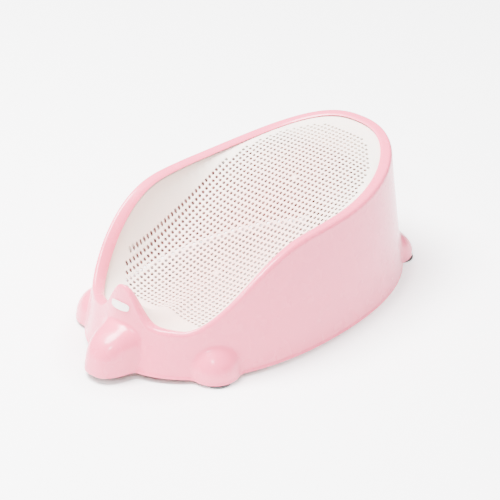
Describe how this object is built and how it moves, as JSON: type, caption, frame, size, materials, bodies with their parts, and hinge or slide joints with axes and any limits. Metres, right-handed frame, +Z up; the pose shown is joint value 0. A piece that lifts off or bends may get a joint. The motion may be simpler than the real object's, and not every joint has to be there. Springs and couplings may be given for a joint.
{
  "type": "baby bath support",
  "caption": "Reclined bath support for a baby: a pink moulded shell with a small head and paws holds a soft white perforated bed inside its rolled rim.",
  "frame": {"origin": "on the ground, centre of the outer box", "axes": "+Z up, +Y towards the head end, +X to the right seen from the foot end"},
  "size_m": [0.342, 0.58, 0.205],
  "materials": {
    "shell": "soft gloss injection-moulded pink polypropylene",
    "bed": "satin soft-touch white elastomer",
    "frame": "satin moulded white plastic",
    "badge": "smooth blank white badge",
    "foot": "matt grey non-slip rubber"
  },
  "bodies": {
    "root": {"outer_shell": "shell", "bed_panel": "bed", "bed_frame": "frame", "front_badge": "badge", "front_left_foot": "foot", "front_right_foot": "foot", "rear_left_foot": "foot", "rear_right_foot": "foot"}
  },
  "joints": []
}
